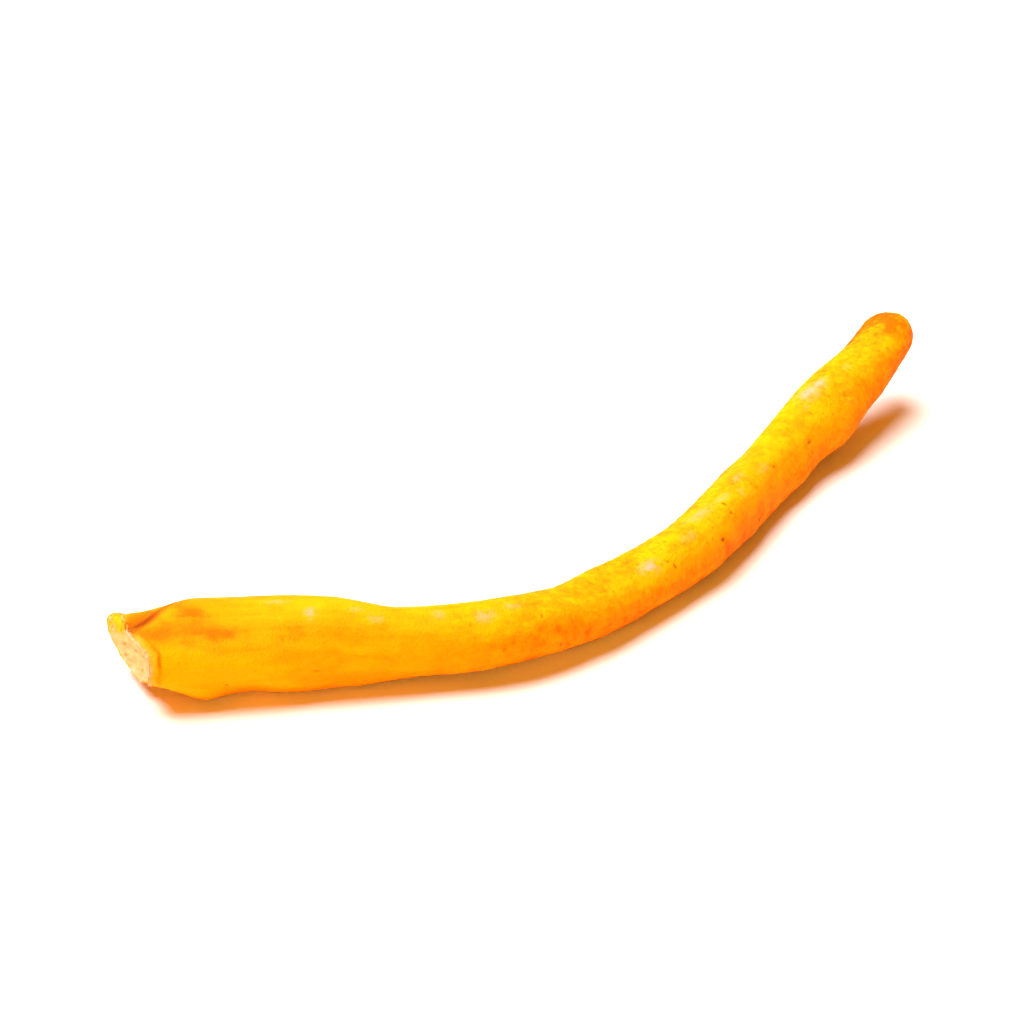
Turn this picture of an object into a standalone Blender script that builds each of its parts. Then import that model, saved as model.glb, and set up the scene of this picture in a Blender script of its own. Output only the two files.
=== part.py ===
"""Dried cordyceps: one cultivated fruiting body, cut off at its base and laid down to rest.

The piece grew as one, so it is one closed solid, fruiting_body.  It is an orange finger,
broad and a little flattened at the cut base, that narrows to a stalk, bends once and swells
again into a blunt club, whose tip curls up off the surface that it lies on.

Frame: metres, +Z up, the surface at z = 0, the origin on it under the middle of the box.
+X runs from the cut base towards the tip, and the front flank faces -Y.  The driving
dimensions are in millimetres and degrees.  A place on the skin is s, the distance along the
middle line from the cut, and turn, the angle round it: 0 is the back flank, 90 the crown,
180 the front flank and 270 the underside.
"""

import bmesh
import bpy
import numpy as np

MM = 0.001

# The middle line seen from above, from the cut to the tip, with the gap that is left under
# the piece and the width and height of its section.  A gap below 0 presses the underside
# flat: the piece rests at its base, in the bend and three quarters of the way along.
#     x      y     gap  width height
STATIONS = (
    (-23.15, -16.22, 0.60, 6.20, 4.10),
    (-17.95, -15.32, -0.08, 6.60, 4.60),
    (-12.65, -14.92, -0.12, 6.35, 4.60),
    (-7.25, -14.72, 0.12, 4.75, 3.95),
    (-2.25, -13.92, 0.22, 4.35, 3.75),
    (2.25, -11.32, -0.02, 4.25, 3.60),
    (6.35, -7.62, -0.10, 3.85, 3.45),
    (9.85, -3.52, 0.15, 3.90, 3.60),
    (12.70, 1.23, -0.05, 4.00, 3.65),
    (15.50, 6.18, -0.08, 4.05, 3.75),
    (18.65, 10.98, 0.60, 4.30, 4.15),
    (21.65, 14.98, 1.70, 3.90, 3.75),
    (24.05, 18.98, 3.30, 3.30, 3.20),
)
TIP_LENGTH = 2.1  # over which the tip rounds off

# The section is an ellipse with low lobes that wander round it along the piece.
#   lobes, share of the radius, turn in degrees for each mm along, phase in degrees
LOBES = ((2, 0.020, 5.0, 20), (3, 0.030, -4.0, 110), (5, 0.012, 9.0, 230))

# Low swellings (+) and dents (-) of the skin.
#    s,  turn, length, spread, rise
LUMPS = (
    (0.0, 250, 2.6, 50, -0.40),
    (3.0, 218, 1.9, 35, 0.44),
    (4.0, 74, 2.4, 26, 0.42),
    (6.6, 212, 1.8, 30, -0.26),
    (12.0, 80, 4.0, 40, 0.24),
    (11.0, 330, 3.5, 45, 0.25),
    (13.0, 205, 3.5, 30, -0.18),
    (15.0, 62, 2.0, 35, -0.18),
    (20.5, 70, 3.0, 35, 0.16),
    (20.0, 240, 4.5, 45, -0.15),
    (24.0, 120, 3.5, 30, 0.12),
    (26.5, 62, 2.2, 30, -0.16),
    (29.0, 42, 3.8, 35, 0.28),
    (33.5, 100, 3.0, 30, 0.14),
    (37.4, 52, 2.6, 35, -0.24),
    (37.5, 200, 3.5, 35, 0.16),
    (41.0, 70, 3.0, 30, -0.12),
    (44.0, 192, 3.0, 35, -0.18),
    (50.6, 200, 1.6, 30, -0.16),
    (48.0, 330, 4.0, 45, 0.20),
    (51.0, 90, 2.5, 25, -0.10),
    (53.3, 198, 2.2, 35, 0.40),
    (57.5, 215, 2.6, 40, -0.10),
    (59.5, 60, 2.5, 35, -0.14),
)

# Small knobs and hollows that follow one another round the piece by the golden angle.
KNOB_COUNT = 41
KNOB_FIRST = 2.6
KNOB_STEP = 1.45
KNOB_ANGLE = 137.5
KNOB_LENGTH = 1.7
KNOB_SPREAD = 26
KNOB_RISE = 0.10
KNOB_BEAT = 2.2  # radians from one knob to the next in the wave that sets their heights

# Long shallow furrows where the drying skin has drawn in.
#   from s, at turn, to s, at turn, half width in degrees, depth
FURROWS = (
    (3, 350, 19, 318, 15, 0.28),
    (8, 262, 24, 290, 14, 0.22),
    (6, 128, 15, 146, 12, 0.10),
    (22, 30, 36, 8, 14, 0.20),
    (34, 300, 50, 325, 14, 0.22),
    (44, -10, 58, 20, 14, 0.18),
)

# The cut: its slant towards the back and towards the crown, how far up the piece the slant
# drags the skin with it, and how deep the flesh has sunk inside the rim.
CUT_SLANT_BACK = 0.38
CUT_SLANT_CROWN = 0.16
CUT_DRAG = 8.0
CUT_DISH = 0.45

# The rim runs out in an ear in front of the crease and is worn back on the tongue.
#    turn, spread, shift along the piece
RIM_EDGE = ((112, 34, -0.55), (36, 26, 0.50), (185, 40, -0.50))

# One crease leaves the rim at the crown and runs to the back flank.  Behind it the end of
# the piece is a tongue that has sunk a little, and in it the rim is notched.
CREASE_FROM = (0.0, 96)
CREASE_TO = (4.4, 44)
CREASE_HALF_WIDTH = 15
CREASE_DEPTH = 0.45
TONGUE_DROP = 0.50
NOTCH_DEPTH = 0.15

# The net of the solid, whose rows of points turn with the crease so that one lies in it.
SIDES = 36
CUT_RINGS = (0.86, 0.6, 0.3)  # as shares of the rim
BASE_SPACING = 0.42
BASE_LENGTH = 6.3
BODY_SPACING = 0.66
TIP_RINGS = 8

SKIN_COLOUR = (1.0, 0.42, 0.015, 1.0)
SKIN_ROUGHNESS = 0.62


def smooth_step(value, start, end):
    """0 before start, 1 after end, and a smooth rise between them."""
    t = np.clip((value - start) / (end - start), 0, 1)
    return t * t * (3 - 2 * t)


def turn_between(turn, centre):
    """The angle from centre to turn, between -180 and 180 degrees."""
    return (turn - centre + 180) % 360 - 180


def natural_spline(knots, values):
    """The smoothest curve through the values, as a function of s that also gives its slope."""
    step = np.diff(knots)
    slope = np.diff(values, axis=0) / step[:, None]
    system = np.eye(len(knots))
    right = np.zeros_like(values)
    for i in range(1, len(knots) - 1):
        system[i, i - 1 : i + 2] = step[i - 1], 2 * (step[i - 1] + step[i]), step[i]
        right[i] = 6 * (slope[i] - slope[i - 1])
    bend = np.linalg.solve(system, right)

    def curve(s):
        inside = np.clip(s, knots[0], knots[-1])
        i = np.clip(np.searchsorted(knots, inside, side="right") - 1, 0, len(step) - 1)
        t = (inside - knots[i])[..., None]
        h = step[i][..., None]
        lean = slope[i] - h * (2 * bend[i] + bend[i + 1]) / 6
        twist = (bend[i + 1] - bend[i]) / h
        value = values[i] + t * lean + t**2 * bend[i] / 2 + t**3 * twist / 6
        rate = lean + t * bend[i] + t**2 * twist / 2
        return value + (s - inside)[..., None] * rate, rate

    return curve


def middle_line():
    """The spline through the stations (x, y, z, half width, half height) and its length."""
    x, y, gap, width, height = np.array(STATIONS).T
    values = np.stack([x, y, gap + height / 2, width / 2, height / 2], axis=1)
    steps = np.linalg.norm(np.diff(values[:, :3], axis=0), axis=1)
    knots = np.concatenate([[0.0], np.cumsum(steps)])
    return natural_spline(knots, values), knots[-1]


LINE, LENGTH = middle_line()


def placed(s, across, above):
    """The point at s on the middle line, moved towards the back flank and the crown."""
    value, rate = LINE(s)
    along = rate[..., :3] / np.linalg.norm(rate[..., :3], axis=-1, keepdims=True)
    back = np.cross([0.0, 0.0, 1.0], along)
    back /= np.linalg.norm(back, axis=-1, keepdims=True)
    crown = np.cross(along, back)
    return value[..., :3] + back * across[..., None] + crown * above[..., None]


def crease_turn(s):
    """The turn at which the crease, or the row of points that follows it, passes s."""
    return np.interp(s, *zip(CREASE_FROM, CREASE_TO))


def crease(s, turn):
    """How near the crease is (1 on it), and the sunk tongue behind it (1 well inside it)."""
    side = turn_between(turn, crease_turn(s))
    fade = 1 - smooth_step(s, 0.1 * CREASE_TO[0], CREASE_TO[0])
    near = np.exp(-((side / CREASE_HALF_WIDTH) ** 2)) * fade
    tongue = smooth_step(-side, 0, 15) * (1 - smooth_step(-side, 55, 90)) * fade
    return near, tongue


def knobs():
    """The small knobs (+) and hollows (-) in the form of LUMPS."""
    for k in range(KNOB_COUNT):
        rise = KNOB_RISE * np.sin(KNOB_BEAT * k)
        yield KNOB_FIRST + KNOB_STEP * k, KNOB_ANGLE * k, KNOB_LENGTH, KNOB_SPREAD, rise


def relief(s, turn):
    """How far the lumps, knobs, furrows and crease move the skin outwards, in mm."""
    rise = np.zeros(np.broadcast(s, turn).shape)
    for at, centre, length, spread, height in (*LUMPS, *knobs()):
        far = ((s - at) / length) ** 2 + (turn_between(turn, centre) / spread) ** 2
        rise += height * np.exp(-far)
    for start, first, end, last, half_width, depth in FURROWS:
        share = (s - start) / (end - start)
        side = turn_between(turn, first + share * (last - first)) / half_width
        window = smooth_step(share, 0, 0.3) * (1 - smooth_step(share, 0.7, 1))
        rise -= depth * window * np.exp(-(side**2))
    near, tongue = crease(s, turn)
    return rise - CREASE_DEPTH * near - TONGUE_DROP * tongue


def section(s, turn):
    """The skin's distance from the middle line towards the back and towards the crown."""
    value = LINE(np.asarray(s, float))[0]
    half_width, half_height = value[..., 3], value[..., 4]
    share = 1 + relief(s, turn) / ((half_width + half_height) / 2)
    for lobes, size, drift, phase in LOBES:
        share = share + size * np.cos(np.radians(lobes * turn - drift * s * lobes - phase))
    over = np.clip((s - (LENGTH - TIP_LENGTH)) / TIP_LENGTH, 0, 1)
    share = share * np.sqrt(1 - over**2)
    around = np.radians(turn)
    return half_width * share * np.cos(around), half_height * share * np.sin(around)


def cut_shift(across, above, turn, share=1.0):
    """How far the slanted cut moves a point along the piece; share is 1 on the rim."""
    edge = NOTCH_DEPTH * crease(np.zeros_like(turn), turn)[0]
    for centre, spread, shift in RIM_EDGE:
        edge = edge + shift * np.exp(-((turn_between(turn, centre) / spread) ** 2))
    slant = -CUT_SLANT_BACK * across - CUT_SLANT_CROWN * above
    return slant + edge * share**3 + CUT_DISH * (1 - share**2)


def row_turns(s):
    """The turns of the net's rows at s: one row stays in the crease, and drags its neighbours."""
    even = np.arange(SIDES) * 360.0 / SIDES
    pull = (1 + np.cos(np.radians(even))) / 2
    return CREASE_FROM[1] + even + pull * (crease_turn(s) - CREASE_FROM[1])


def skin_ring(s):
    """A ring of the skin.  Near the base the slant of the cut drags it along the piece."""
    turn = row_turns(s)
    s = np.full_like(turn, s)
    across, above = section(s, turn)
    drag = 1 - smooth_step(s, 0, CUT_DRAG)
    return placed(s + drag * cut_shift(across, above, turn), across, above)


def cut_ring(share):
    """A ring of the cut face, at a share of the way from its middle to the rim."""
    turn = row_turns(0.0)
    across, above = section(np.zeros_like(turn), turn)
    across, above = across * share, above * share
    return placed(cut_shift(across, above, turn, share), across, above)


def ring_places():
    """Where the skin's rings stand along the piece, closer together at both ends."""
    base = np.arange(0, BASE_LENGTH, BASE_SPACING)
    body_count = int(round((LENGTH - TIP_LENGTH - BASE_LENGTH) / BODY_SPACING))
    body = np.linspace(BASE_LENGTH, LENGTH - TIP_LENGTH, body_count, endpoint=False)
    round_off = np.sin(np.linspace(0, np.pi / 2, TIP_RINGS, endpoint=False))
    return np.concatenate([base, body, LENGTH - TIP_LENGTH + TIP_LENGTH * round_off])


def rings():
    """All rings from the middle of the cut face over its rim to the tip."""
    cut = [cut_ring(share) for share in reversed(CUT_RINGS)]
    return cut + [skin_ring(s) for s in ring_places()]


def on_surface(point):
    """The point in metres, no lower than the surface that the piece is pressed on."""
    x, y, z = point
    return x * MM, y * MM, max(z, 0.0) * MM


def skin_material():
    """The orange skin, matt and dry."""
    material = bpy.data.materials.new("fruiting_body_skin")
    material.use_nodes = True
    shader = material.node_tree.nodes["Principled BSDF"]
    shader.inputs["Base Color"].default_value = SKIN_COLOUR
    shader.inputs["Roughness"].default_value = SKIN_ROUGHNESS
    shader.inputs["Metallic"].default_value = 0.0
    return material


def fruiting_body():
    """The closed solid: rings joined by faces, with a point at the cut's middle and the tip."""
    cut_middle = cut_ring(0.0)[0]
    tip = skin_ring(LENGTH)[0]
    mesh = bpy.data.meshes.new("fruiting_body")
    work = bmesh.new()
    loops = [[work.verts.new(on_surface(p)) for p in ring] for ring in rings()]
    first = work.verts.new(on_surface(cut_middle))
    last = work.verts.new(on_surface(tip))
    for side in range(SIDES):
        after = (side + 1) % SIDES
        work.faces.new((first, loops[0][after], loops[0][side]))
        for lower, upper in zip(loops, loops[1:]):
            work.faces.new((lower[side], lower[after], upper[after], upper[side]))
        work.faces.new((last, loops[-1][side], loops[-1][after]))
    work.to_mesh(mesh)
    work.free()
    mesh.shade_smooth()
    mesh.set_sharp_from_angle(angle=np.radians(50))
    mesh.materials.append(skin_material())
    body = bpy.data.objects.new("fruiting_body", mesh)
    bpy.context.scene.collection.objects.link(body)


for thing in list(bpy.data.objects):
    bpy.data.objects.remove(thing)
fruiting_body()
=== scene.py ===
"""Dried cordyceps: the finished look of one orange fruiting body, cut off at its base.

Frame: metres, +Z up, the surface at z = 0.  Shapes are worked out in millimetres.  A place on
the skin is s, the distance along the middle line from the cut, and turn, the angle round it:
0 is the back flank, 90 the crown, 180 the front flank and 270 the underside.  On the cut the
share is 1 on the rim and 0 in the middle.  The same place on the straightened piece is called
grown: how far along, towards the back and towards the crown.  Grain and colours are laid out on
that, so that they follow the bend.  Pairs in the tables are the start and end of a smooth step,
and a layer of noise is its size in mm, its seed and its height.
"""

import bpy
import numpy as np
from mathutils import Matrix


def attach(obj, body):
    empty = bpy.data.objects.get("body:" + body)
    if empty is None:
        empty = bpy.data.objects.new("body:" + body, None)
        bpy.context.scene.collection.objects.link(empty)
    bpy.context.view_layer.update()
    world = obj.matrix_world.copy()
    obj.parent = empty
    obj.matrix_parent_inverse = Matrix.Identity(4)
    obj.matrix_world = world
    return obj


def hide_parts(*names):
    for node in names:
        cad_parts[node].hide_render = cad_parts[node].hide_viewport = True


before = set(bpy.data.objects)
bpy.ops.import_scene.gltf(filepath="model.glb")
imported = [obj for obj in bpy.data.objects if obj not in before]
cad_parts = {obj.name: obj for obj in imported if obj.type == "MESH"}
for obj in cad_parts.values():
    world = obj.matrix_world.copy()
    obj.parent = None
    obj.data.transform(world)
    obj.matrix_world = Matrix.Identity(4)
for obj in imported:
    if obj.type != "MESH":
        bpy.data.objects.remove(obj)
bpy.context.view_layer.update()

MM = 0.001
GOLDEN_ANGLE = 137.5
HASH_PRIMES = np.array([0x9E3779B97F4A7C15, 0xC2B2AE3D27D4EB4F, 0x165667B19E3779F9], np.uint64)
HASH_ROUNDS = ((31, 0xBF58476D1CE4E5B9), (27, 0x94D049BB133111EB))

# ---- the form, as in the solid

#     x      y     gap  width height
STATIONS = (
    (-23.15, -16.22, 0.60, 6.20, 4.10),
    (-17.95, -15.32, -0.08, 6.60, 4.60),
    (-12.65, -14.92, -0.12, 6.35, 4.60),
    (-7.25, -14.72, 0.12, 4.75, 3.95),
    (-2.25, -13.92, 0.22, 4.35, 3.75),
    (2.25, -11.32, -0.02, 4.25, 3.60),
    (6.35, -7.62, -0.10, 3.85, 3.45),
    (9.85, -3.52, 0.15, 3.90, 3.60),
    (12.70, 1.23, -0.05, 4.00, 3.65),
    (15.50, 6.18, -0.08, 4.05, 3.75),
    (18.65, 10.98, 0.60, 4.30, 4.15),
    (21.65, 14.98, 1.70, 3.90, 3.75),
    (24.05, 18.98, 3.30, 3.30, 3.20),
)
TIP_LENGTH = 2.1

#   lobes, share of the radius, turn in degrees for each mm along, phase in degrees
LOBES = ((2, 0.02, 5.0, 20), (3, 0.03, -4.0, 110), (5, 0.012, 9.0, 230))

#    s,  turn, length, spread, rise
LUMPS = (
    (0.0, 250, 2.6, 50, -0.40),
    (3.0, 218, 1.9, 35, 0.44),
    (4.0, 74, 2.4, 26, 0.42),
    (6.6, 212, 1.8, 30, -0.26),
    (12.0, 80, 4.0, 40, 0.24),
    (11.0, 330, 3.5, 45, 0.25),
    (13.0, 205, 3.5, 30, -0.18),
    (15.0, 62, 2.0, 35, -0.18),
    (20.5, 70, 3.0, 35, 0.16),
    (20.0, 240, 4.5, 45, -0.15),
    (24.0, 120, 3.5, 30, 0.12),
    (26.5, 62, 2.2, 30, -0.16),
    (29.0, 42, 3.8, 35, 0.28),
    (33.5, 100, 3.0, 30, 0.14),
    (37.4, 52, 2.6, 35, -0.24),
    (37.5, 200, 3.5, 35, 0.16),
    (41.0, 70, 3.0, 30, -0.12),
    (44.0, 192, 3.0, 35, -0.18),
    (50.6, 200, 1.6, 30, -0.16),
    (48.0, 330, 4.0, 45, 0.20),
    (51.0, 90, 2.5, 25, -0.10),
    (53.3, 198, 2.2, 35, 0.40),
    (57.5, 215, 2.6, 40, -0.10),
    (59.5, 60, 2.5, 35, -0.14),
)
KNOB_PLACES = 2.6 + 1.45 * np.arange(41)
KNOB_SIZE = (1.7, 26)  # length, spread
KNOB_RISE = 0.1
KNOB_BEAT = 2.2

#   from s, at turn, to s, at turn, half width in degrees, depth
FURROWS = (
    (3, 350, 19, 318, 15, 0.28),
    (8, 262, 24, 290, 14, 0.22),
    (6, 128, 15, 146, 12, 0.10),
    (22, 30, 36, 8, 14, 0.20),
    (34, 300, 50, 325, 14, 0.22),
    (44, -10, 58, 20, 14, 0.18),
)
FURROW_WINDOW = (0, 0.3, 0.7, 1)  # shares of its length: it starts, is full, fades, ends

CUT_SLANT = (0.38, 0.16)  # back, crown
CUT_DRAG = 8.0
CUT_DISH = 0.45
#    turn, spread, shift along the piece
RIM_EDGE = ((112, 34, -0.55), (36, 26, 0.5), (185, 40, -0.5))
CREASE_FROM = (0.0, 96)
CREASE_TO = (4.4, 44)
CREASE_FADE = (0.44, 4.4)
CREASE_HALF_WIDTH = 15
CREASE_DEPTH = 0.45
TONGUE_WINDOW = (0, 15, 55, 90)  # degrees behind the crease
TONGUE_DROP = 0.5
NOTCH_DEPTH = 0.15

# ---- the fine net

COLUMNS = 144
CUT_ROWS = 42
ROW_STEPS = (0.08, 0.106)
STEP_CHANGE = (4, 9)
STEP_SAMPLES = 4001
TIP_ROWS = 26
TIP_SMOOTH = 0.5  # mm before the tip's end over which the relief dies away

# ---- the skin's relief

# Where the stalk turns into the club, whose skin carries granules.
FERTILE = (13.0, 30.0)

SWELLS = ((2.3, 11, 0.05), (1.0, 12, 0.026), (0.45, 13, 0.01))

# Fine long wrinkles of the stalk, fainter on the club.
WRINKLE_STRETCH = 6.0
WRINKLE_FOLDS = ((0.95, 21, 1.0), (0.45, 22, 0.4))
WRINKLE_SHARPNESS = 2.4
WRINKLE_START = (0.4, 3)
WRINKLE_ON_CLUB = 0.45
WRINKLE_DEPTH = 0.045

# Short cross wrinkles inside the bend: the turn that it faces, and cosines of the angle to it.
CROSS_WINDOW = (23.0, 30.0, 35.0, 42.0)
CROSS_INSIDE = (10, -0.1, 0.9)
CROSS_LEAST = 0.25
CROSS_PITCH = 0.62
CROSS_WANDER = ((1.3, 23, 0.55), (0.6, 24, 0.3))
CROSS_PATCHES = (1.7, 25, -0.5, 0.4)  # size, seed and the levels of the smooth step
CROSS_DEPTH = 0.03

# Granules, and their least and greatest strength on the club, by patch and one by one.
GRANULES = (0.42, 31)  # size, seed
GRANULE_EDGE = (0.05, 0.62)
GRANULE_GAP = (0, 0.25)
GRANULE_PATCHES = (2.8, 36, -0.6, 0.5)
GRANULE_STRENGTHS = ((0.22, 1.0), (0.45, 1.0), (0.55, 1.3))
GRANULE_RISE = 0.034

# The folded valley beside the crease and its core, dents that are also painted as shade: its
# wander and its width on either side, in degrees, how much narrower it gets for each mm, and
# the steps in which it fades.
VALLEY_WANDER = ((0.8, 26, 2.5),)
VALLEY_WIDTHS = ((20, 3), (17, 4))
VALLEY_LEAST = 9
VALLEY_FADES = ((1.3, 2.4, 0.45), (2.8, 5.0, 0.55))
VALLEY_DEPTH = 0.1
CORE_HALF_WIDTH = 7
CORE_FADE = (1.2, 2.6)
CORE_DEPTH = 0.08

# Small dark pits.
#    s,   turn, half length, half width in mm, depth, darkness
PITS = (
    (0.10, 171, 0.20, 0.14, 0.03, 0.55),
    (5.5, 121, 0.40, 0.15, 0.02, 0.40),
    (8.7, 130, 0.17, 0.16, 0.03, 0.50),
    (10.6, 179, 0.40, 0.15, 0.04, 0.55),
    (17.1, 189, 0.20, 0.12, 0.03, 0.30),
    (21.3, 158, 0.16, 0.14, 0.04, 0.55),
    (31.1, 96, 0.15, 0.12, 0.03, 0.60),
    (32.8, 125, 0.17, 0.13, 0.04, 0.60),
    (37.1, 156, 0.22, 0.16, 0.05, 0.85),
    (38.9, 128, 0.17, 0.14, 0.05, 0.75),
    (44.6, 58, 0.14, 0.13, 0.04, 0.60),
    (45.3, 122, 0.19, 0.14, 0.04, 0.75),
    (49.5, 141, 0.42, 0.13, 0.05, 0.75),
)
# More pits on the flanks that face away.
FAR_PIT_PLACES = 5.0 + 3.25 * np.arange(17)
FAR_PIT_TURNS = (195, 220)  # from, reach
FAR_PIT_SIZES = (0.13, 0.05, 2.3)  # half width, its swing and its beat
FAR_PIT_STRETCH = 1.4
FAR_PIT_LOOK = (0.04, 0.75)  # depth, darkness

# One round scar with a raised ring.
RING_SCAR = (54.6, 137, 0.42)  # s, turn, radius
RING_WIDTH = 0.13
RING_HOLLOW = 0.25
RING_RISE = 0.035
RING_PALE = 0.25

# Pale patches.
#    s,   turn, half length, half width in mm, strength
PALE = (
    (8.4, 76, 0.90, 0.32, 0.55),
    (10.3, 100, 0.42, 0.42, 1.00),
    (12.9, 94, 0.60, 0.30, 0.45),
    (14.0, 104, 0.45, 0.36, 0.80),
    (17.6, 97, 0.45, 0.40, 0.60),
    (20.1, 107, 0.65, 0.42, 0.80),
    (21.8, 96, 0.90, 0.30, 0.55),
    (31.5, 116, 0.80, 0.55, 0.95),
    (35.2, 111, 0.70, 0.40, 0.55),
    (37.5, 86, 1.50, 0.55, 0.65),
    (39.7, 94, 0.90, 0.40, 0.60),
    (42.4, 87, 0.80, 0.38, 0.60),
    (41.1, 115, 0.40, 0.35, 0.60),
    (44.4, 108, 0.75, 0.38, 0.50),
    (53.0, 80, 1.05, 0.68, 1.00),
    (54.0, 86, 0.75, 0.50, 0.95),
    (51.7, 92, 0.45, 0.32, 0.60),
    (56.5, 98, 0.55, 0.34, 0.38),
)
PALE_RISE = 0.012

TINT_FLANK = 0.62
TINT_LIT_CROWN = 0.24
# The crown's yellower band, painted light where the light from above falls, at the base and on
# the club: its turn and its edges in degrees.
CROWN_CHANGE = (10, 32)
CROWN_TURN = (84, 102)
CROWN_INNER = (14, 48)
CROWN_OUTER = (40, 82)

# Broad tints: yellower (+) or deeper orange (-) than the rest, partly the skin's own tone and
# partly painted light and shade.
#    s,   turn, half length in mm, spread in degrees, shift
TINTS = (
    # Deeper orange round the crease and on the base's crown, with painted shade beside the crease.
    (2.9, 100, 2.5, 32, -0.68),
    (1.3, 118, 1.0, 18, -0.34),
    (8.2, 108, 3.4, 13, -0.20),
    (2.4, 88, 0.40, 7, 0.30),
    (5.0, 117, 1.10, 10, -0.22),
    (5.45, 123, 0.50, 5.5, -0.38),
    (4.6, 128, 0.50, 12, -0.25),
    (3.9, 90.5, 0.45, 3.5, -0.20),
    (6.6, 116, 0.90, 7, -0.15),
    # The tongue's skin behind the crease, darker: painted shade.
    (1.2, 66, 1.6, 16, -0.60),
    # Along the flanks and the crown: painted light and shade, brighter on the front flanks where the
    # light falls and darker below them.
    (1.5, 176, 4.5, 40, 0.60),
    (8.5, 176, 5.5, 32, 0.46),
    (9.0, 92, 5.0, 20, 0.08),
    (26.0, 178, 4.0, 16, -0.16),
    (22.5, 152, 2.4, 16, -0.20),
    (40.0, 160, 26.0, 34, 0.14),
    (25.5, 122, 4.5, 24, 0.16),
    (27.0, 100, 3.0, 16, -0.10),
    (34.5, 140, 4.5, 22, 0.34),
    (42.0, 84, 4.0, 25, -0.14),
    (49.5, 146, 4.5, 20, 0.20),
    # Darker round the tip's end and on its back flank: partly its own deeper orange, partly painted
    # shade.
    (62.6, 110, 1.7, 80, -0.42),
    (62.6, 70, 1.5, 48, -0.36),
    (60.6, 36, 2.2, 18, -0.30),
    (60.0, 95, 1.6, 45, -0.12),
    # A painted highlight on the tip.
    (60.6, 119, 0.45, 16, 0.50),
)

# The tip's deeper orange, on its back flank and round its end, broken up by clouds: partly its
# own colour and partly painted shade.
CAP = ((60.6, 34, 3.0, 17, 0.8), (63.0, 66, 1.0, 42, 1.0))
CAP_LEVEL = 0.85
CAP_CLOUDS = ((0.8, 33, 0.6),)
CAP_STRENGTH = 0.55

# The skin's torn edge: how far past the rim it has paled, and how far it is frayed.
LIP_LEAST = 0.16
#    turn, spread, width in mm
LIP_EDGE = ((136, 27, 0.42), (30, 30, 0.4), (200, 30, 0.16))
LIP_WANDER = ((0.55, 42, 0.14), (0.25, 43, 0.08))
LIP_BEFORE = 0.3
LIP_AFTER = 0.12
LIP_DROP = 0.01
RIM_WIDTH = (0.02, 0.16)
FRAY = ((0.75, 46, 0.12), (0.3, 47, 0.04))
FRAY_POWER = 6
FRAY_LENGTH = 0.35

# The rust seam behind the lip, on the front and darkest where it is scorched: turn, spread.
SEAM_SHIFT = 0.22
SEAM_HALF_WIDTH = 0.17
SEAM_RISE = 0.02
SEAM_FRONT = (140, 0.2, 0.8)
SEAM_FRONT_STRENGTH = 0.4
SCORCH = (149, 13)
SCORCH_STRENGTH = 0.9
# The notch at the crease, painted dark olive as shade: turn, spread, and the steps in which it fades.
NOTCH = (95, 11)
NOTCH_FADE = (0.15, 0.9)

# The flesh inside the rim: crumbs, pores, streaks and puckers that run to the rim.
FLESH_END = (0.86, 1.0)
FLESH_SINK = 0.05
FLESH_SWELLS = ((1.1, 56, 0.07), (0.4, 57, 0.03))
CRUMBS = (0.3, 51)
CRUMB_EDGE = (0.05, 0.7)
CRUMB_BY_OWN = (0.3, 1.0)
CRUMB_RISE = 0.065
PORES = (0.5, 71)
PORE_HEART = 0.08
PORE_RADIUS = (0.22, 0.36)
PORE_CHOSEN = (0.3, 0.55)
PORE_DEPTH = 0.11
OUTER_FLESH = (0.25, 0.8)
STREAK_WANDER = ((0.9, 55, 0.12),)
STREAK_TURN = 7.0
STREAK_SHARE = 2.2
STREAK_SEED = 58
STREAK_RISE = 0.045
PUCKERS = 11
PUCKER_RISE = 0.05

# Yellow flesh, and the deeper amber in the cleft under the notch, painted shade: turn and spread.
HONEY = (24, 40)
HONEY_START = (0.34, 0.6)
CLEFT = (84, 19)
CLEFT_START = (0.48, 0.86)

# The ragged edge between flesh and skin, and the flesh that bulges over the rim in front.
RAGGED = (0.35, 59)
RAGGED_IN = 0.035
RAGGED_OUT = 0.1
RAGGED_START = (0, 0.03)
FLESH_EDGE = (0.93, 1.0)
BULGE_FRONT = (152, 0.25, 0.75)
BULGE_END = (0.02, 0.3)

# Loose crumbs on either side of the rim, more of them in front and none in the notch.
LOOSE_CRUMBS = (0.34, 61)
LOOSE_EDGE = (0.15, 0.54)
LOOSE_INSIDE = (0.74, 0.9)
LOOSE_OUTSIDE = (0.05, 0.35)
LOOSE_NOTCH = (94, 22)
LOOSE_FRONT = (142, 0.3, 0.85)
LOOSE_MORE = 0.35
LOOSE_CHOSEN = (0.52, 0.72)
LOOSE_RISE = 0.07

# Torn fibres: least and greatest values, in mm where they are lengths.
FIBRE_COUNT = 44
FIBRE_SEED = 7
FIBRE_SIDES = 6
FIBRE_RINGS = 7
FIBRE_SHARE = (0.3, 0.93)
FIBRE_ROOT = (0.2, 0.1)
FIBRE_OUTWARDS = (-0.1, 1.0)
FIBRE_LENGTH = (0.1, 0.24)
FIBRE_WIDTH = (0.04, 0.08)
FIBRE_STRAY = 0.45
FIBRE_CURL = 0.35
FIBRE_SAG = -0.2
FIBRE_FLATNESS = 0.6
FIBRE_POWER = 0.7
FIBRE_LAST_RING = 0.96

# ---- colours

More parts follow.
